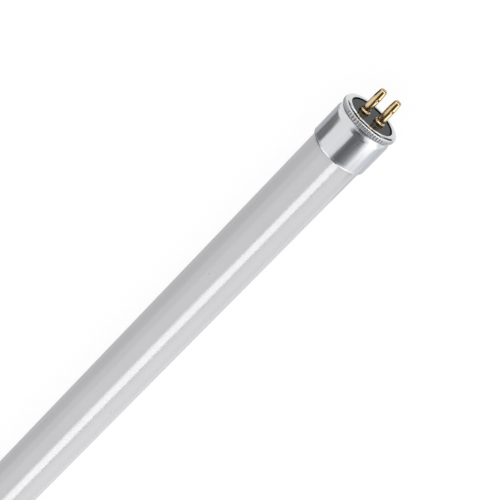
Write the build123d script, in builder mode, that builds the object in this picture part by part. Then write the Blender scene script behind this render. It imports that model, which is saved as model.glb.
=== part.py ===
"""Straight fluorescent tube lamp: a sealed glass tube with a two-pin metal cap on each end.

The lamp lies along X, with its middle at the origin. Each cap's two pins lie along Y.
Depths are measured from a cap's base face, the flat top of its rim, towards the middle of the lamp.
Heights are measured from the base face outwards. All sizes are in millimetres.
"""

import os

from build123d import *

os.makedirs("parts", exist_ok=True)

# Glass tube
base_face_distance = 287.7
tube_diameter = 15.5
glass_wall = 0.8
glass_end_depth = 5.0
glass_end_wall = 3.0

# Cap shell, drawn from thin sheet, with room for a film of cement over the glass
sheet = 0.3
cement_film = 0.3
cap_height = 13.0
lip_width = 1.7
bead_overhang = 0.05
bead_height = 1.5
bead_bevel = 0.4
neck_cut = 0.7
neck_drop = 0.7
shoulder_drop = 1.1
shoulder_bevel = 0.5
curl_height = 0.5
curl_depth = 0.15

# Insulating disc held under the lip
disc_thickness = 1.1
disc_clearance = 0.2
pin_hole_clearance = 0.05

# Contact pins, pressed through the disc
pin_spacing = 4.75
pin_diameter = 2.3
pin_length = 7.4
pin_shank_diameter = 2.15
pin_tail = 0.6
collar_diameter = 3.05
collar_height = 0.65
taper_length = 2.3
tip_diameter = 1.95
tip_bevel = 0.18

# Crimp marks on opposite sides of each pin, turned from Z by an angle in degrees
crimp_height = 4.3
crimp_angle = 25.0
crimp_diameter = 1.0
crimp_depth = 0.3
crimp_sides = 6

# Lead wires, drawn with a few flat sides
wire_diameter = 0.5
wire_sides = 6

base_face_x = base_face_distance / 2
glass_end_x = base_face_x - glass_end_depth
tube_radius = tube_diameter / 2
skirt_radius = tube_radius + cement_film + sheet
bead_radius = skirt_radius + bead_overhang
neck_radius = skirt_radius - neck_cut
neck_depth = bead_height + neck_drop
shoulder_depth = neck_depth + shoulder_drop
disc_radius = bead_radius - sheet - disc_clearance
disc_top = sheet
disc_bottom = disc_top + disc_thickness
pin_radius = pin_diameter / 2
pin_tail_depth = disc_bottom + pin_tail


def section_plane(direction, y=0.0):
    """Section plane of one end: its local x is the depth below the base face, its local y runs along Y."""
    return Plane(
        origin=(direction * base_face_x, y, 0),
        x_dir=(-direction, 0, 0),
        z_dir=(0, 0, -direction),
    )


def face_plane(direction, depth):
    """Plane across the lamp at a depth below one base face, looking out of that end."""
    return Plane(
        origin=(direction * (base_face_x - depth), 0, 0),
        x_dir=(0, 1, 0),
        z_dir=(direction, 0, 0),
    )


def bevel_corner(before, corner, after, length):
    """The two points that take a corner off at a length along each of its sides."""
    return [Vector(corner) + (Vector(end) - Vector(corner)).normalized() * length for end in (before, after)]


# Corners of the cap's sheet, from the lip over the bead, neck and shoulder to the end of the skirt
lip = (0, bead_radius - lip_width)
bead_top = (0, bead_radius)
bead_foot = (bead_height, bead_radius)
neck = (neck_depth, neck_radius)
shoulder = (shoulder_depth, skirt_radius)
skirt_end = (cap_height, skirt_radius)
curl_start = (cap_height - curl_height, skirt_radius)
curl_end = (cap_height, skirt_radius - curl_depth)

# Sealed glass tube, one hollow piece with its ends closed by thick glass
with BuildPart() as glass_tube:
    with BuildSketch(Plane.YZ.offset(-glass_end_x)):
        Circle(tube_radius)
    extrude(amount=2 * glass_end_x)
    with BuildSketch(Plane.YZ.offset(glass_end_wall - glass_end_x)):
        Circle(tube_radius - glass_wall)
    extrude(amount=2 * (glass_end_x - glass_end_wall), mode=Mode.SUBTRACT)
glass_tube.part.label = "glass_tube"
export_step(glass_tube.part, "parts/glass_tube.step")

for end, direction in (("left", -1), ("right", 1)):
    # Cap shell: the sheet's two sides joined at the lip and the skirt's end, and turned about the axis
    with BuildPart() as cap_shell:
        with BuildSketch(section_plane(direction)):
            with BuildLine():
                outside = Polyline(
                    lip,
                    *bevel_corner(lip, bead_top, bead_foot, bead_bevel),
                    bead_foot,
                    neck,
                    *bevel_corner(neck, shoulder, skirt_end, shoulder_bevel),
                    curl_start,
                    curl_end,
                )
                corners = Polyline(lip, bead_top, bead_foot, neck, shoulder, skirt_end, mode=Mode.PRIVATE)
                inside = offset(
                    corners, sheet, side=Side.RIGHT, kind=Kind.INTERSECTION, closed=False, mode=Mode.ADD
                )
                Line(outside @ 0, inside @ 0)
                Line(outside @ 1, inside @ 1)
            make_face()
        revolve(axis=Axis.X)
    cap_shell.part.label = f"cap_shell_{end}"
    export_step(cap_shell.part, f"parts/cap_shell_{end}.step")

    # Insulating disc, trapped between the lip and the neck, with a hole for each pin
    with BuildPart() as insulator_disc:
        with BuildSketch(face_plane(direction, disc_bottom)):
            Circle(disc_radius)
            with GridLocations(pin_spacing, 0, 2, 1):
                Circle(pin_shank_diameter / 2 + pin_hole_clearance, mode=Mode.SUBTRACT)
        extrude(amount=disc_thickness)
    insulator_disc.part.label = f"insulator_disc_{end}"
    export_step(insulator_disc.part, f"parts/insulator_disc_{end}.step")

    for side, y in (("front", -pin_spacing / 2), ("back", pin_spacing / 2)):
        # Contact pin: tail, shank, collar on the disc, shaft, taper and bevelled tip, then two crimp marks
        with BuildPart() as contact_pin:
            with BuildSketch(section_plane(direction, y)):
                with BuildLine():
                    collar_top = disc_top - collar_height
                    Polyline(
                        (pin_tail_depth, 0),
                        (pin_tail_depth, pin_shank_diameter / 2),
                        (disc_top, pin_shank_diameter / 2),
                        (disc_top, collar_diameter / 2),
                        (collar_top, collar_diameter / 2),
                        (collar_top, pin_radius),
                        (taper_length - pin_length, pin_radius),
                        (tip_bevel - pin_length, tip_diameter / 2),
                        (-pin_length, tip_diameter / 2 - tip_bevel),
                        (-pin_length, 0),
                        close=True,
                    )
                make_face()
            revolve(axis=Axis((0, y, 0), (1, 0, 0)))
            for turn in (0, 180):
                outwards = Vector(0, 0, 1).rotate(Axis.X, direction * crimp_angle + turn)
                pin_middle = Vector(direction * (base_face_x + crimp_height), y, 0)
                with BuildSketch(Plane(pin_middle + outwards * (pin_radius - crimp_depth), z_dir=outwards)):
                    RegularPolygon(crimp_diameter / 2, crimp_sides)
                extrude(amount=crimp_depth, mode=Mode.SUBTRACT)
        contact_pin.part.label = f"contact_pin_{end}_{side}"
        export_step(contact_pin.part, f"parts/contact_pin_{end}_{side}.step")

        # Lead wire, from the closed end of the glass to the tail of its pin
        with BuildPart() as lead_wire:
            with BuildSketch(face_plane(direction, glass_end_depth)):
                with Locations((y, 0)):
                    RegularPolygon(wire_diameter / 2, wire_sides)
            extrude(amount=glass_end_depth - pin_tail_depth)
        lead_wire.part.label = f"lead_wire_{end}_{side}"
        export_step(lead_wire.part, f"parts/lead_wire_{end}_{side}.step")
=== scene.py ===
import math
import random

import bmesh
import bpy
from mathutils import Matrix, Vector


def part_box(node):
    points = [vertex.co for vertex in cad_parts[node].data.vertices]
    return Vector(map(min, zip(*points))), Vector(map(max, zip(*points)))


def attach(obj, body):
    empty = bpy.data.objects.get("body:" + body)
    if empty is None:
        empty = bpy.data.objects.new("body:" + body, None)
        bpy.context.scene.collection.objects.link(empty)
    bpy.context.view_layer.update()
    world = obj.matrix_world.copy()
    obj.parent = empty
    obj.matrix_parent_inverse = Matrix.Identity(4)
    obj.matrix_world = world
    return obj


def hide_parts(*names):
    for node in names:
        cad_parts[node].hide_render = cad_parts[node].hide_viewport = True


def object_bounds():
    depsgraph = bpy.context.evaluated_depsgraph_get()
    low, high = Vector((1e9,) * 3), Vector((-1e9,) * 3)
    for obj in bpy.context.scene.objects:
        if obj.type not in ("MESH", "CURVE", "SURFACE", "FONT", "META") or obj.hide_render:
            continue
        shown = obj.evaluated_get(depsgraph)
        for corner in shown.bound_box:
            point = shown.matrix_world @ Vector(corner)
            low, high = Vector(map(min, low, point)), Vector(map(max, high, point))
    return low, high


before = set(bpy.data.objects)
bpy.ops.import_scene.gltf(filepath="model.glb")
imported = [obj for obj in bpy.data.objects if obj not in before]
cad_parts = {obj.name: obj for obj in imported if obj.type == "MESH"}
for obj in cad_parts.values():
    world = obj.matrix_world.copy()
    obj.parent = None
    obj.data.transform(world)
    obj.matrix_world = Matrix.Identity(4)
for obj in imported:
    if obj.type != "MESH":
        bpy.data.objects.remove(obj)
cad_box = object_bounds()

# The lamp lies along X, with its middle at the origin
MM = 0.001
ON_AXIS = 1e-6
ENDS = {"left": -1, "right": 1}
SIDES = {"front": -1, "back": 1}
random.seed(7)

# Places and sizes read from the frame, in millimetres
cap_low, cap_high = (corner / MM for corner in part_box("cap_shell_right"))
disc_low, disc_high = (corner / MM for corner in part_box("insulator_disc_right"))
pin_low, pin_high = (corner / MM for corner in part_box("contact_pin_right_back"))
_, glass_high = (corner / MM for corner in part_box("glass_tube"))

BASE_X = cap_high.x
CAP_HEIGHT = cap_high.x - cap_low.x
BEAD_RADIUS = cap_high.z
TUBE_RADIUS = glass_high.z
DISC_TOP = BASE_X - disc_high.x
DISC_BOTTOM = BASE_X - disc_low.x
DISC_RADIUS = disc_high.z
PIN_Y = (pin_low.y + pin_high.y) / 2
PIN_LENGTH = pin_high.x - BASE_X
PIN_TAIL = BASE_X - pin_low.x
COLLAR_RADIUS = (pin_high.y - pin_low.y) / 2
GLASS_END = glass_high.x

# Cap sizes, in millimetres; depths run from the base face towards the middle of the lamp
SHEET = DISC_TOP
BEAD_OVERHANG = 0.05
LIP_WIDTH = 1.7
NECK_CUT = 0.7
SKIRT_RADIUS = BEAD_RADIUS - BEAD_OVERHANG
LIP_RADIUS = BEAD_RADIUS - LIP_WIDTH
NECK_RADIUS = SKIRT_RADIUS - NECK_CUT
BEAD_DEPTH = 1.5
NECK_DEPTH = 2.2
SHOULDER_DEPTH = 3.3
CURL_HEIGHT = 0.5
CURL_CUT = 0.15
CURL_DELAY = 0.1
CURL_START = CAP_HEIGHT - CURL_HEIGHT
CAP_SEGMENTS = 960
BEAD_ROWS = 16

# Roundings of the cap's corners
LIP_ROUND = 0.06
LIP_UNDERSIDE_ROUND = 0.05
BEAD_ROUND = 0.85
BEAD_FOOT_ROUND = 0.25
NECK_ROUND = 0.3
SHOULDER_ROUND = 2.4
CURL_ROUND = 0.5
CURL_END_ROUND = 0.1

# Very small groove round the skirt, above its turned-in end
SKIRT_GROOVE_RISE = 0.18
SKIRT_GROOVE_DEPTH = CURL_START - SKIRT_GROOVE_RISE
SKIRT_GROOVE_HALF = 0.1
SKIRT_GROOVE_CUT = 0.04
SKIRT_GROOVE_ROUND = 0.1
SKIRT_GROOVE_FLOOR_ROUND = 0.08

# Knurl round the bead: many short marks pressed into it, each a little out of step
KNURL_COUNT = 56
KNURL_START = 0.5
KNURL_END = 1.55
KNURL_MIDDLE = (KNURL_START + KNURL_END) / 2
KNURL_END_LENGTH = 0.15
KNURL_HALF_WIDTH = 0.24
KNURL_DEPTH = 0.22
KNURL_REACH = 0.15
KNURL_SLANT = 0.15
KNURL_JITTER = 0.06
KNURL_WEAKEST = 0.75

# Painted shade in the knurl and in the neck groove below it, on metal also made duller there: depths where it
# fades in and out, shades in the marks and between them
KNURL_SHADE_START = (0.45, 0.65)
KNURL_SHADE_END = (1.9, 2.3)
KNURL_PAINTED_SHADES = (0.35, 0.75)
KNURL_BAND_ROUGHNESS = 0.28

# Disc sizes, in millimetres, with a fine groove beside the lip
DISC_GROOVE_WIDTH = 0.45
DISC_GROOVE_DEPTH = 0.35
DISC_GROOVE_UNDER_LIP = 0.05
DISC_SEGMENTS = 256

# Pin sizes, in millimetres; heights run from the base face outwards
SHANK_RADIUS = 1.075
SHAFT_RADIUS = 1.15
COLLAR_TOP = 0.35
TAPER_START = 5.1
TIP_RADIUS = 0.975
TAIL_ROUND = 0.1
COLLAR_FOOT_ROUND = 0.15
COLLAR_ROUND = 0.22
SHAFT_FOOT_ROUND = 0.15
TAPER_ROUND = 0.3
TIP_ROUND = 0.5
CRIMP_HEIGHT = 4.3
CRIMP_ANGLE = math.radians(25)
CRIMP_RADIUS = 0.5
CRIMP_DEPTH = 0.3
PIN_SEGMENTS = 128
PIN_ROW = 0.05

# Holes for the pins, drilled through a disc between two depths
HOLE_CLEARANCE = 0.05
HOLE_RADIUS = SHANK_RADIUS + HOLE_CLEARANCE
HOLE_START = -1.0
HOLE_END = 4.0
HOLE_SEGMENTS = 64
CRISP_ANGLE = math.radians(30)

# Tube: rounded ends, and two faint dark specks on the glass at places in millimetres
TUBE_ROUND = 0.4
TUBE_SEGMENTS = 256
SPECKS = ((29.8, -3.72, 6.8), (83.5, 3.77, 6.77))
SPECK_CORE = 0.15
SPECK_EDGE = 0.4
SPECK_SHADE = 0.8

# Range in which most values of a noise lie
NOISE_LOW = 0.3
NOISE_HIGH = 0.7


def rounded(corners, steps=5, hold=0.03):
    """Closed outline through corners (place, radius, rounding), each corner rounded by an arc.

    A point at the hold distance from each end of an arc keeps the stretch beyond it flat when shaded smooth.
    """
    outline = []
    count = len(corners)
    for i, (u, v, rounding) in enumerate(corners):
        corner = Vector((u, v))
        before = (Vector(corners[i - 1][:2]) - corner).normalized()
        after = (Vector(corners[(i + 1) % count][:2]) - corner).normalized()
        if rounding == 0:
            outline.append(tuple(corner))
            continue
        half = before.angle(after) / 2
        reach = rounding / math.tan(half)
        middle = corner + (before + after).normalized() * rounding / math.sin(half)
        start, end = corner + before * reach, corner + after * reach
        sweep = (start - middle).angle_signed(end - middle)
        outline.append(tuple(start + before * hold))
        for k in range(steps + 1):
            turn = Matrix.Rotation(-sweep * k / steps, 2)
            outline.append(tuple(middle + turn @ (start - middle)))
        outline.append(tuple(end + after * hold))
    return outline


def with_rows(outline, steps_between):
    """The closed outline with each stretch cut into even steps, as many as steps_between says."""
    points = []
    for (u, v), (next_u, next_v) in zip(outline, outline[1:] + outline[:1]):
        steps = steps_between(u, v, next_u, next_v)
        for k in range(steps):
            share = k / steps
            points.append((u + (next_u - u) * share, v + (next_v - v) * share))
    return points


def at_end(direction, outline):
    """An outline of (depth, radius) placed at one end of the lamp, as (x, radius)."""
    return [(direction * (BASE_X - depth), radius) for depth, radius in outline]


def angle_between(angle, middle):
    """Angle from the middle of a mark, between half a turn back and half a turn on."""
    return (angle - middle + math.pi) % (2 * math.pi) - math.pi


def lathe(name, outline, segments, axis_y=0.0, change=None):
    """Closed mesh turned about the line y = axis_y, z = 0 from an outline of (x, radius) in millimetres.

    A change gives what is added to the radius at a place (x, radius, angle).
    """
    points, rings = [], []
    for x, radius in outline:
        ring = []
        for k in range(segments if radius > ON_AXIS else 1):
            angle = 2 * math.pi * k / segments
            r = radius + (change(x, radius, angle) if change else 0.0)
            ring.append(len(points))
            points.append(Vector((x, axis_y + r * math.cos(angle), r * math.sin(angle))) * MM)
        rings.append(ring)
    faces = []
    for ring, following in zip(rings, rings[1:] + rings[:1]):
        if len(ring) == len(following) == 1:
            continue
        for k in range(segments):
            n = (k + 1) % segments
            near = [ring[k % len(ring)], ring[n % len(ring)]]
            far = [following[n % len(following)], following[k % len(following)]]
            faces.append(list(dict.fromkeys(near + far)))
    mesh = bpy.data.meshes.new(name)
    mesh.from_pydata(points, [], faces)
    work = bmesh.new()
    work.from_mesh(mesh)
    bmesh.ops.recalc_face_normals(work, faces=work.faces)
    work.to_mesh(mesh)
    work.free()
    mesh.shade_smooth()
    piece = bpy.data.objects.new(name, mesh)
    bpy.context.collection.objects.link(piece)
    return piece


# Materials


class Nodes:
    """A node tree that is built node by node."""

    def __init__(self, tree):
        self.tree = tree
        tree.nodes.clear()

    def add(self, kind, inputs=(), **settings):
        """Adds a node; each input is a value, or a socket that is linked to it."""
        node = self.tree.nodes.new(kind)
        for key, value in settings.items():
            setattr(node, key, value)
        for key, value in dict(inputs).items():
            if isinstance(value, bpy.types.NodeSocket):
                self.tree.links.new(value, node.inputs[key])
            else:
                node.inputs[key].default_value = value
        return node

    def math(self, operation, *values):
        return self.add("ShaderNodeMath", dict(enumerate(values)), operation=operation).outputs[0]

    def place(self):
        """Place in the object's own metres."""
        return self.add("ShaderNodeTexCoord").outputs["Object"]

    def ramp(self, factor, *stops):
        node = self.add("ShaderNodeValToRGB", {"Fac": factor})
        elements = node.color_ramp.elements
        while len(elements) < len(stops):
            elements.new(0.5)
        for element, (place, colour) in zip(elements, stops):
            element.position = place
            element.color = (*colour, 1.0)
        return node.outputs["Color"]

    def noise(self, scale, stretch=(1.0, 1.0, 1.0), detail=3.0):
        """Noise over the object's own metres; stretch multiplies the scale along each axis."""
        spread = self.add("ShaderNodeMapping", {"Vector": self.place(), "Scale": stretch})
        inputs = {"Vector": spread.outputs["Vector"], "Scale": scale, "Detail": detail}
        return self.add("ShaderNodeTexNoise", inputs).outputs["Fac"]

    def between(self, value, start, end, low, high):
        """Low up to start, high from end on, and even between them."""
        inputs = {"Value": value, "From Min": start, "From Max": end, "To Min": low, "To Max": high}
        return self.add("ShaderNodeMapRange", inputs).outputs["Result"]

    def spread(self, noise, low, high):
        """A value that follows a noise from low to high."""
        return self.between(noise, NOISE_LOW, NOISE_HIGH, low, high)

    def tones(self, noise, low, high):
        """A colour that follows a noise from low to high."""
        return self.ramp(noise, (NOISE_LOW, low), (NOISE_HIGH, high))

    def scaled(self, colour, shade):
        """A colour multiplied by a shade."""
        inputs = {0: colour, "Scale": shade}
        return self.add("ShaderNodeVectorMath", inputs, operation="SCALE").outputs["Vector"]


def new_material(name):
    material = bpy.data.materials.new(name)
    material.use_nodes = True
    return material, Nodes(material.node_tree)


def surface(nodes, inputs):
    shader = nodes.add("ShaderNodeBsdfPrincipled", inputs)
    nodes.add("ShaderNodeOutputMaterial", {"Surface": shader.outputs["BSDF"]})


def coated_glass():
    """White coating under clear glass, which reflects on both its surfaces."""
    material, nodes = new_material("coated_glass")
    mottle = nodes.noise(60.0, detail=4.0)
    colour = nodes.tones(mottle, (0.60, 0.588, 0.61), (0.62, 0.61, 0.63))
    for speck in SPECKS:
        inputs = {0: nodes.place(), 1: Vector(speck) * MM}
        away = nodes.add("ShaderNodeVectorMath", inputs, operation="DISTANCE").outputs["Value"]
        colour = nodes.scaled(colour, nodes.between(away, SPECK_CORE * MM, SPECK_EDGE * MM, SPECK_SHADE, 1.0))
    surface(nodes, {"Base Color": colour, "Roughness": 0.16, "IOR": 1.5, "Specular IOR Level": 1.0})
    return material


def cap_metal():
    """Bright drawn sheet with faint lines round it, with painted shade and duller metal in the knurl and neck
    groove.
    """
    material, nodes = new_material("cap_metal")
    lines = nodes.noise(1400.0, (0.03, 1.0, 1.0))
    colour = nodes.tones(lines, (0.665, 0.672, 0.69), (0.705, 0.712, 0.728))
    rough = nodes.spread(lines, 0.15, 0.22)
    part = nodes.add("ShaderNodeSeparateXYZ", {"Vector": nodes.place()}).outputs
    x, y, z = (nodes.math("MULTIPLY", part[axis], 1 / MM) for axis in "XYZ")
    depth = nodes.math("SUBTRACT", BASE_X, nodes.math("ABSOLUTE", x))
    radius = nodes.math("SQRT", nodes.math("MULTIPLY_ADD", y, y, nodes.math("MULTIPLY", z, z)))
    # Painted shade: the knurl is darkened, most at the bottom of its marks, and so is the neck groove below
    # it where the band fades out
    started = nodes.between(depth, *KNURL_SHADE_START, 0, 1)
    going_on = nodes.between(depth, *KNURL_SHADE_END, 1, 0)
    band = nodes.math("MULTIPLY", started, going_on)
    marks = nodes.between(radius, BEAD_RADIUS - KNURL_DEPTH, BEAD_RADIUS, *KNURL_PAINTED_SHADES)
    shade = nodes.math("MULTIPLY_ADD", band, nodes.math("SUBTRACT", marks, 1), 1)
    rough = nodes.math("MULTIPLY_ADD", band, KNURL_BAND_ROUGHNESS, rough)
    waves = nodes.noise(500.0, (0.25, 1.0, 1.0))
    bump = nodes.add("ShaderNodeBump", {"Height": waves, "Strength": 0.3, "Distance": 0.1 * MM})
    inputs = {"Base Color": nodes.scaled(colour, shade), "Metallic": 1.0, "Roughness": rough}
    surface(nodes, {**inputs, "Normal": bump.outputs["Normal"]})
    return material


def pin_metal():
    material, nodes = new_material("pin_metal")
    lines = nodes.noise(2500.0, (0.08, 1.0, 1.0))
    colour = nodes.tones(lines, (0.75, 0.555, 0.315), (0.80, 0.61, 0.36))
    rough = nodes.spread(lines, 0.12, 0.2)
    surface(nodes, {"Base Color": colour, "Metallic": 1.0, "Roughness": rough})
    return material


def disc_plastic():
    material, nodes = new_material("disc_plastic")
    grain = nodes.noise(900.0, detail=2.0)
    colour = nodes.tones(grain, (0.021, 0.026, 0.029), (0.029, 0.034, 0.037))
    rough = nodes.spread(grain, 0.1, 0.16)
    surface(nodes, {"Base Color": colour, "Roughness": rough, "IOR": 1.45, "Specular IOR Level": 0.1})
    return material


def lead_wire():
    material, nodes = new_material("lead_wire")
    lines = nodes.noise(4000.0, (0.05, 1.0, 1.0))
    colour = nodes.tones(lines, (0.57, 0.53, 0.49), (0.63, 0.59, 0.55))
    rough = nodes.spread(lines, 0.25, 0.35)
    surface(nodes, {"Base Color": colour, "Metallic": 1.0, "Roughness": rough})
    return material


MATERIALS = {
    "coated_glass": coated_glass(),
    "cap_metal": cap_metal(),
    "pin_metal": pin_metal(),
    "disc_plastic": disc_plastic(),
    "lead_wire": lead_wire(),
}


def add_piece(piece, node, slot):
    """Puts a piece in a CAD node's place, with its slot and material."""
    piece.data.materials.append(MATERIALS[slot])
    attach(piece, "root")
    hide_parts(node)
    return piece


def paint_node(node, slot):
    """Gives a CAD node that isn't replaced its material."""
    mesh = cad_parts[node].data
    mesh.materials.clear()
    mesh.materials.append(MATERIALS[slot])


# Cap shells

knurl_marks = []
for number in range(KNURL_COUNT):
    place = number + random.uniform(-KNURL_JITTER, KNURL_JITTER)
    knurl_marks.append((2 * math.pi * place / KNURL_COUNT, random.uniform(KNURL_WEAKEST, 1.0)))


def knurl(direction):
    """Change of radius by the pressed marks at a place on the cap."""

    def change(x, radius, angle):
        depth = BASE_X - direction * x
        if radius < BEAD_RADIUS - KNURL_REACH or not KNURL_START < depth < KNURL_END:
            return 0.0
        nearest = int(angle / (2 * math.pi) * KNURL_COUNT)
        press = 0.0
        for k in range(nearest - 1, nearest + 3):
            middle, strength = knurl_marks[k % KNURL_COUNT]
            off = angle_between(angle, middle) * BEAD_RADIUS + KNURL_SLANT * (depth - KNURL_MIDDLE)
            share = max(0.0, 1 - abs(off) / KNURL_HALF_WIDTH)
            press = max(press, strength * share)
        ends = min(1.0, (depth - KNURL_START) / KNURL_END_LENGTH, (KNURL_END - depth) / KNURL_END_LENGTH)
        return -KNURL_DEPTH * press * ends

    return change


def cap_outline(direction):
    """Section of a cap's sheet: its outside from the lip to the curled end, then its inside back."""
    corners = [
        (0.0, LIP_RADIUS, LIP_ROUND),
        (0.0, BEAD_RADIUS, BEAD_ROUND),
        (BEAD_DEPTH, BEAD_RADIUS, BEAD_FOOT_ROUND),
        (NECK_DEPTH, NECK_RADIUS, NECK_ROUND),
        (SHOULDER_DEPTH, SKIRT_RADIUS, SHOULDER_ROUND),
        (SKIRT_GROOVE_DEPTH - SKIRT_GROOVE_HALF, SKIRT_RADIUS, SKIRT_GROOVE_ROUND),
        (SKIRT_GROOVE_DEPTH, SKIRT_RADIUS - SKIRT_GROOVE_CUT, SKIRT_GROOVE_FLOOR_ROUND),
        (SKIRT_GROOVE_DEPTH + SKIRT_GROOVE_HALF, SKIRT_RADIUS, SKIRT_GROOVE_ROUND),
        (CURL_START + CURL_DELAY, SKIRT_RADIUS, CURL_ROUND),
        (CAP_HEIGHT, SKIRT_RADIUS - CURL_CUT, CURL_END_ROUND),
        (CAP_HEIGHT, SKIRT_RADIUS - SHEET, 0.0),
        (SHOULDER_DEPTH, SKIRT_RADIUS - SHEET, 0.0),
        (NECK_DEPTH + SHEET / 2, NECK_RADIUS - SHEET, 0.0),
        (NECK_DEPTH - SHEET / 2, NECK_RADIUS - SHEET, 0.0),
        (BEAD_DEPTH - SHEET / 2, BEAD_RADIUS - SHEET, 0.0),
        (SHEET, BEAD_RADIUS - SHEET, 0.0),
        (SHEET, LIP_RADIUS, LIP_UNDERSIDE_ROUND),
    ]

    def bead_steps(depth, radius, next_depth, next_radius):
        return BEAD_ROWS if radius == next_radius == BEAD_RADIUS else 1

    return at_end(direction, with_rows(rounded(corners), bead_steps))


# Insulating discs


def disc_outline(direction):
    """Section of a disc: a fine groove runs round its top beside the lip."""
    groove_inside = LIP_RADIUS - DISC_GROOVE_WIDTH
    groove_outside = LIP_RADIUS + DISC_GROOVE_UNDER_LIP
    groove_floor = DISC_TOP + DISC_GROOVE_DEPTH
    corners = [
        (DISC_TOP, 0.0),
        (DISC_TOP, groove_inside),
        (groove_floor, groove_inside),
        (groove_floor, groove_outside),
        (DISC_TOP, groove_outside),
        (DISC_TOP, DISC_RADIUS),
        (DISC_BOTTOM, DISC_RADIUS),
        (DISC_BOTTOM, 0.0),
    ]
    return at_end(direction, corners)


def cut_holes(piece, direction):
    """Cuts the two pin holes through a disc and keeps its edges crisp."""
    corners = [(HOLE_START, 0.0), (HOLE_START, HOLE_RADIUS), (HOLE_END, HOLE_RADIUS), (HOLE_END, 0.0)]
    for sign in SIDES.values():
        drill = lathe("drill", at_end(direction, corners), HOLE_SEGMENTS, sign * PIN_Y)
        cut = piece.modifiers.new("hole", "BOOLEAN")
        cut.object = drill
        cut.operation = "DIFFERENCE"
        evaluated = piece.evaluated_get(bpy.context.evaluated_depsgraph_get())
        mesh = bpy.data.meshes.new_from_object(evaluated)
        piece.modifiers.clear()
        piece.data = mesh
        bpy.data.objects.remove(drill)
    piece.data.set_sharp_from_angle(angle=CRISP_ANGLE)


# Contact pins


def crimps(direction):
    """Change of radius by the two crimp dents at a place on a pin."""
    crimp_x = direction * (BASE_X + CRIMP_HEIGHT)
    middles = [math.pi / 2 + direction * CRIMP_ANGLE + turn for turn in (0, math.pi)]

    def change(x, radius, angle):
        press = 0.0
        for middle in middles:
            off = angle_between(angle, middle) * SHAFT_RADIUS
            share = math.hypot(x - crimp_x, off) / CRIMP_RADIUS
            press = max(press, 1 - share**2)
        return -CRIMP_DEPTH * press

    return change


def pin_outline(direction):
    """Section of a pin from its tail to its tip, in fine rows above the collar for the crimp dents."""
    corners = [
        (PIN_TAIL, 0.0, 0.0),
        (PIN_TAIL, SHANK_RADIUS, TAIL_ROUND),
        (DISC_TOP, SHANK_RADIUS, 0.0),
        (DISC_TOP, COLLAR_RADIUS, COLLAR_FOOT_ROUND),
        (-COLLAR_TOP, COLLAR_RADIUS, COLLAR_ROUND),
        (-COLLAR_TOP, SHAFT_RADIUS, SHAFT_FOOT_ROUND),
        (-TAPER_START, SHAFT_RADIUS, TAPER_ROUND),
        (-PIN_LENGTH, TIP_RADIUS, TIP_ROUND),
        (-PIN_LENGTH, 0.0, 0.0),
    ]

    def shaft_steps(depth, radius, next_depth, next_radius):
        return max(1, round((depth - next_depth) / PIN_ROW)) if depth < -COLLAR_TOP else 1

    return at_end(direction, with_rows(rounded(corners), shaft_steps))


# Glass tube


def glass_outline():
    """Outside of the sealed tube, with rounded ends."""
    corners = [
        (-GLASS_END, 0.0, 0.0),
        (-GLASS_END, TUBE_RADIUS, TUBE_ROUND),
        (GLASS_END, TUBE_RADIUS, TUBE_ROUND),
        (GLASS_END, 0.0, 0.0),
    ]
    return rounded(corners)


caps, discs, pins = [], [], []
for end, direction in ENDS.items():
    cap = lathe(f"cap_{end}", cap_outline(direction), CAP_SEGMENTS, change=knurl(direction))
    caps.append(add_piece(cap, f"cap_shell_{end}", "cap_metal"))
    disc = lathe(f"disc_{end}", disc_outline(direction), DISC_SEGMENTS)
    cut_holes(disc, direction)
    discs.append(add_piece(disc, f"insulator_disc_{end}", "disc_plastic"))
    for side, sign in SIDES.items():
        outline = pin_outline(direction)
        pin = lathe(f"pin_{end}_{side}", outline, PIN_SEGMENTS, sign * PIN_Y, crimps(direction))
        pins.append(add_piece(pin, f"contact_pin_{end}_{side}", "pin_metal"))
        paint_node(f"lead_wire_{end}_{side}", "lead_wire")

tube = lathe("tube", glass_outline(), TUBE_SEGMENTS)
add_piece(tube, "glass_tube", "coated_glass")

# Camera, placed in millimetres from the middle of the right base face

CAMERA_FROM_BASE = Vector((136.56, 98.79, 374.64))
CAMERA_FORWARD = Vector((-0.435, -0.233, -0.870)).normalized()
CAMERA_UP = Vector((0.644, 0.595, -0.482))
FIELD_OF_VIEW = math.radians(17.51)

camera = bpy.data.objects.new("camera", bpy.data.cameras.new("camera"))
bpy.context.collection.objects.link(camera)
camera.data.angle = FIELD_OF_VIEW
camera.data.clip_start = 0.01
right = CAMERA_FORWARD.cross(CAMERA_UP).normalized()
up = right.cross(CAMERA_FORWARD)
turn = Matrix((right, up, -CAMERA_FORWARD)).transposed()
camera.matrix_world = Matrix.Translation((Vector((BASE_X, 0, 0)) + CAMERA_FROM_BASE) * MM) @ turn.to_4x4()
bpy.context.scene.camera = camera

# White world and floor, in metres

WORLD_LIGHT = 0.8
FLOOR_Z = cad_box[0][2]
FLOOR_HALF = 4.0
FLOOR_COLOUR = (0.9, 0.9, 0.9, 1)
FLOOR_GLOW = 1.06
FLOOR_FILL = 0.85
WHITE = (1, 1, 1, 1)


def background_rays(nodes):
    """1 for rays that show the background: those of the camera, of reflections and through glass."""
    path = nodes.add("ShaderNodeLightPath").outputs
    shown = nodes.math("MAXIMUM", path["Is Camera Ray"], path["Is Glossy Ray"])
    return nodes.math("MAXIMUM", shown, path["Is Transmission Ray"])


world = bpy.data.worlds.new("studio")
bpy.context.scene.world = world
world.use_nodes = True
nodes = Nodes(world.node_tree)
strength = nodes.math("MULTIPLY_ADD", background_rays(nodes), 1 - WORLD_LIGHT, WORLD_LIGHT)
white = nodes.add("ShaderNodeBackground", {"Color": WHITE, "Strength": strength})
nodes.add("ShaderNodeOutputWorld", {"Surface": white.outputs["Background"]})


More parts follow.
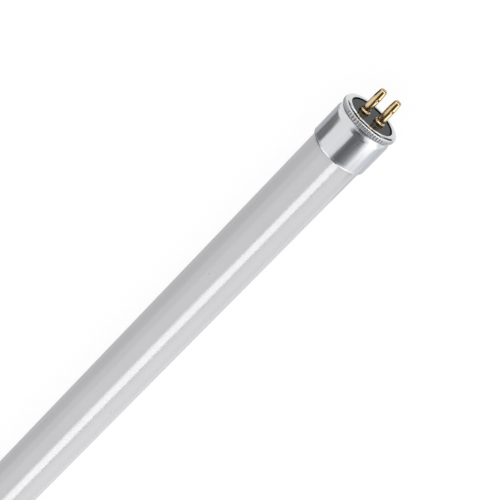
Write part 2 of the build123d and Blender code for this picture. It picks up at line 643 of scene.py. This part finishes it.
def stage_sheet(name, corners, material, glossy_only=False):
    """A flat stage piece through four corners in metres."""
    mesh = bpy.data.meshes.new(name)
    mesh.from_pydata(corners, [], [(0, 1, 2, 3)])
    mesh.materials.append(material)
    piece = bpy.data.objects.new(name, mesh)
    bpy.context.collection.objects.link(piece)
    if glossy_only:
        piece.visible_camera = False
        piece.visible_diffuse = False
        piece.visible_transmission = False
        piece.visible_shadow = False


floor_material, nodes = new_material("floor")
paper = nodes.add("ShaderNodeBsdfDiffuse", {"Color": FLOOR_COLOUR})
fill = nodes.add("ShaderNodeEmission", {"Color": WHITE, "Strength": FLOOR_GLOW})
share = nodes.math("MULTIPLY", background_rays(nodes), FLOOR_FILL)
mixed = nodes.add("ShaderNodeMixShader", {0: share, 1: paper.outputs[0], 2: fill.outputs[0]})
nodes.add("ShaderNodeOutputMaterial", {"Surface": mixed.outputs[0]})
floor_signs = ((-1, -1), (1, -1), (1, 1), (-1, 1))
stage_sheet("floor", [(x * FLOOR_HALF, y * FLOOR_HALF, FLOOR_Z) for x, y in floor_signs], floor_material)

# Places of cards and lamps, in millimetres: a stretch along X, and two edges (y, z) across the lamp

CAMERA_SIDE = math.atan2(CAMERA_FROM_BASE.y, CAMERA_FROM_BASE.z)
CARD_LIFT = 0.1
LAMP_LIFT = 0.2
LOW = FLOOR_Z / MM + CARD_LIFT


def from_base(start, end):
    """Stretch along X between two places measured from the right base face outwards."""
    return BASE_X + start, BASE_X + end


def around(angle, distance):
    """Place (y, z) at a distance and an angle in degrees from the camera's side, positive towards -Y."""
    turned = CAMERA_SIDE - math.radians(angle)
    return distance * math.sin(turned), distance * math.cos(turned)


def over(start, end, distance):
    """Edges at two angles round the lamp's axis."""
    return around(start, distance), around(end, distance)


def on_floor(start, end, lift=0.0):
    """Edges at two places along Y, just above the floor."""
    return (start, LOW + lift), (end, LOW + lift)


# Reflector cards, which only reflections show


def card_shade(name, *stops, tint=(0.97, 1.0, 1.03)):
    """Shade of a card, from its lowest Y to its highest, with a tint."""
    material, nodes = new_material(name)
    place = nodes.add("ShaderNodeTexCoord").outputs["Generated"]
    across = nodes.add("ShaderNodeSeparateXYZ", {"Vector": place}).outputs["Y"]
    shade = nodes.ramp(across, *((at, [level * part for part in tint]) for at, level in stops))
    glow = nodes.add("ShaderNodeEmission", {"Color": shade, "Strength": 1.0})
    nodes.add("ShaderNodeOutputMaterial", {"Surface": glow.outputs[0]})
    return material


def card(name, stretch, edges, material, slant=0.0):
    """Card over a stretch along X; a slant takes that much off the length of its second edge."""
    (x0, x1), ((y0, z0), (y1, z1)) = stretch, edges
    corners = [(x0, y0, z0), (x1, y0, z0), (x1 - slant, y1, z1), (x0, y1, z1)]
    stage_sheet(name, [Vector(corner) * MM for corner in corners], material, True)


black = card_shade("black_card", (0.0, 0.035), (1.0, 0.035))
brown = card_shade("brown_card", (0.0, 0.035), (1.0, 0.035), tint=(1.2, 0.7, 0.3))
dark = card_shade("dark_card", (0.0, 0.21), (1.0, 0.21))
graded = card_shade("graded_card", (0.0, 0.85), (0.2, 0.46), (0.43, 0.21), (0.7, 0.155), (1.0, 0.19))
grey = card_shade("grey_card", (0.0, 0.58), (1.0, 0.58))
pale = card_shade("pale_card", (0.0, 0.73), (1.0, 0.73))
fading = card_shade("fading_card", (0.0, 1.0), (1.0, 0.72))
shoulder = card_shade("shoulder_card", (0.0, 0.12), (0.33, 0.15), (0.52, 0.4), (0.76, 0.65), (1.0, 0.85))
deep = card_shade("deep_card", (0.0, 0.5), (0.25, 0.1), (1.0, 0.09))

# The overhead cards end together in front of the lamp, and each hangs a little nearer than the one before
OVERHEAD_END = BASE_X + 276
OVERHEAD = 300
FORWARD = 290
SHOULDER = 285

# The cards over and beside the pins, which fills undo on the caps and discs
PIN_CARD_STRETCH = from_base(-17, -1)
PIN_CARD = 60
PIN_FLOOR_STRETCH = from_base(-3, 6)
PIN_FLOOR_Y = (-1, 13)
PIN_LEFT_STRETCH = from_base(1, 8)
PIN_LEFT_Y = (13, 14)
PIN_LEFT_TOP = 0.6
FILL_GAP = 0.1

# The dark card that leans away on the left
LEFT_START = -300
LEFT_Y = (19, 60)
LEFT_TOP = 6

# The card in front of the lamp and the wall at its end
FRONT = BASE_X + 6.5
FRONT_END = FRONT + 45
FRONT_TOP = 20
WALL_Y = (-60, 45)

card("overhead_card", (-1000, OVERHEAD_END), over(58, -4, OVERHEAD), graded)
card("forward_card", (BASE_X + 110, OVERHEAD_END), over(50, -4, FORWARD), deep)
card("left_card", (LEFT_START, BASE_X - 6), ((LEFT_Y[0], LOW), (LEFT_Y[1], LEFT_TOP)), dark, slant=19)
card("left_floor_card", (LEFT_START, BASE_X - 3), on_floor(9, LEFT_Y[0]), grey)
card("pin_card", PIN_CARD_STRETCH, over(39, -18, PIN_CARD), brown)
card("shoulder_card", (BASE_X - 40, OVERHEAD_END), over(-3, -24, SHOULDER), shoulder)
card("pin_floor_card", PIN_FLOOR_STRETCH, on_floor(*PIN_FLOOR_Y), black)
card("pin_left_card", PIN_LEFT_STRETCH, ((PIN_LEFT_Y[0], LOW), (PIN_LEFT_Y[1], PIN_LEFT_TOP)), black)
card("right_card", from_base(-30, 0), on_floor(-90, -11), pale)
card("right_wall", from_base(-50, -10), ((-100, 34), (-90, LOW)), fading)
card("front_card", (FRONT, FRONT_END), on_floor(-30, 28), black)
wall_edges = [(y, LOW) for y in WALL_Y] + [(y, FRONT_TOP) for y in reversed(WALL_Y)]
stage_sheet("front_wall", [Vector((FRONT_END, y, z)) * MM for y, z in wall_edges], black, True)

# Lamps, whose shine is seen on the named pieces alone


def receivers(name, pieces):
    group = bpy.data.collections.new(name)
    for piece in pieces:
        group.objects.link(piece)
    return group


def softbox(name, stretch, edges, radiance, pieces, outwards=False, colour=(1, 1, 1)):
    """Area light over a stretch along X that faces the lamp's axis, or away from it if asked."""
    (x0, x1), ((y0, z0), (y1, z1)) = stretch, edges
    middle = Vector(((x0 + x1) / 2, (y0 + y1) / 2, (z0 + z1) / 2)) * MM
    across = Vector((0, y1 - y0, z1 - z0)) * MM
    light = bpy.data.lights.new(name, "AREA")
    light.shape = "RECTANGLE"
    light.size = (x1 - x0) * MM
    light.size_y = across.length
    light.energy = radiance * math.pi * light.size * light.size_y
    light.color = colour
    lamp = bpy.data.objects.new(name, light)
    bpy.context.collection.objects.link(lamp)
    along = Vector((1, 0, 0))
    upward = across.normalized()
    facing = along.cross(upward)
    if (facing.dot(middle) < 0) != outwards:
        facing, along = -facing, -along
    lamp.matrix_world = Matrix.Translation(middle) @ Matrix((along, upward, facing)).transposed().to_4x4()
    lamp.visible_camera = False
    lamp.visible_diffuse = False
    lamp.light_linking.receiver_collection = pieces


tube_only = receivers("tube_only", [tube])
caps_only = receivers("caps_only", caps)
pins_only = receivers("pins_only", pins)
caps_and_discs = receivers("caps_and_discs", caps + discs)

# Distances of the lamps from the lamp's axis
NEAR = 70
MIDDLE = 150
FAR = 200
LIP = 7.9

# Bright spot and shoulder of the caps
softbox("cap_spot", from_base(-28, 6), over(44, 92, NEAR), 0.55, caps_only)
softbox("shoulder_light", from_base(6, 85), over(34, 92, NEAR), 0.5, caps_only)

# Fills that undo the pins' cards on the caps and discs
bluish = (0.85, 1.0, 1.15)
fill_edges = ((PIN_LEFT_Y[0] - FILL_GAP, LOW), (PIN_LEFT_Y[1] - FILL_GAP, PIN_LEFT_TOP))
softbox("pin_card_fill", PIN_CARD_STRETCH, over(39, -18, PIN_CARD - 1), 0.14, caps_only, colour=bluish)
softbox("pin_card_left_fill", PIN_CARD_STRETCH, over(-2, -18, PIN_CARD - 2), 0.5, caps_only)
softbox("pin_left_fill", PIN_LEFT_STRETCH, fill_edges, 0.95, caps_only)
softbox("pin_floor_fill", PIN_FLOOR_STRETCH, on_floor(*PIN_FLOOR_Y, lift=FILL_GAP), 0.95, caps_and_discs)

# Rim, lip and curled end of the caps
softbox("rim_light", from_base(192, 459), over(-12, 55, FAR), 1.1, caps_only)
softbox("lip_light", from_base(0.1, 1.05), over(-50, 50, LIP), 0.5, caps_only, outwards=True)
softbox("curl_left_light", from_base(-280, -90), over(-95, -12, MIDDLE), 0.45, caps_only)
softbox("curl_right_light", from_base(-280, -90), over(38, 95, MIDDLE), 0.6, caps_only)

# Collars, tips and right sides of the pins
softbox("collar_light", from_base(110, 400), over(-60, 60, FAR), 3.4, pins_only)
softbox("tip_light", from_base(6.5, 24), on_floor(-20, 20, lift=LAMP_LIFT), 0.6, pins_only)
softbox("pin_side", from_base(-27, -3), over(50, 88, NEAR), 1.0, pins_only)

# Bright strip along the tube and the softer bands beside it
TUBE_REACH = 1200
ALONG_TUBE = (-TUBE_REACH, TUBE_REACH)
left_edges = ((LEFT_Y[0], LOW + LAMP_LIFT), (LEFT_Y[1], LEFT_TOP + LAMP_LIFT))
softbox("tube_strip", ALONG_TUBE, over(15, 41.5, FAR), 5.05, tube_only)
softbox("tube_strip_edge", (-TUBE_REACH, -10), over(9, 15, FAR), 1.95, tube_only)
softbox("tube_left", ALONG_TUBE, left_edges, 0.15, tube_only)
softbox("tube_top", ALONG_TUBE, over(-41, -4, FAR), 0.55, tube_only)
softbox("tube_middle", ALONG_TUBE, over(-4, 16, FAR), 1.1, tube_only)
softbox("tube_side", ALONG_TUBE, over(43, 92, FAR), 1.25, tube_only)
softbox("tube_low", ALONG_TUBE, over(92, 107, FAR), 0.8, tube_only)
softbox("tube_floor", ALONG_TUBE, on_floor(-300, -24, lift=LAMP_LIFT), 0.48, tube_only)

bpy.context.scene.view_settings.view_transform = "Standard"
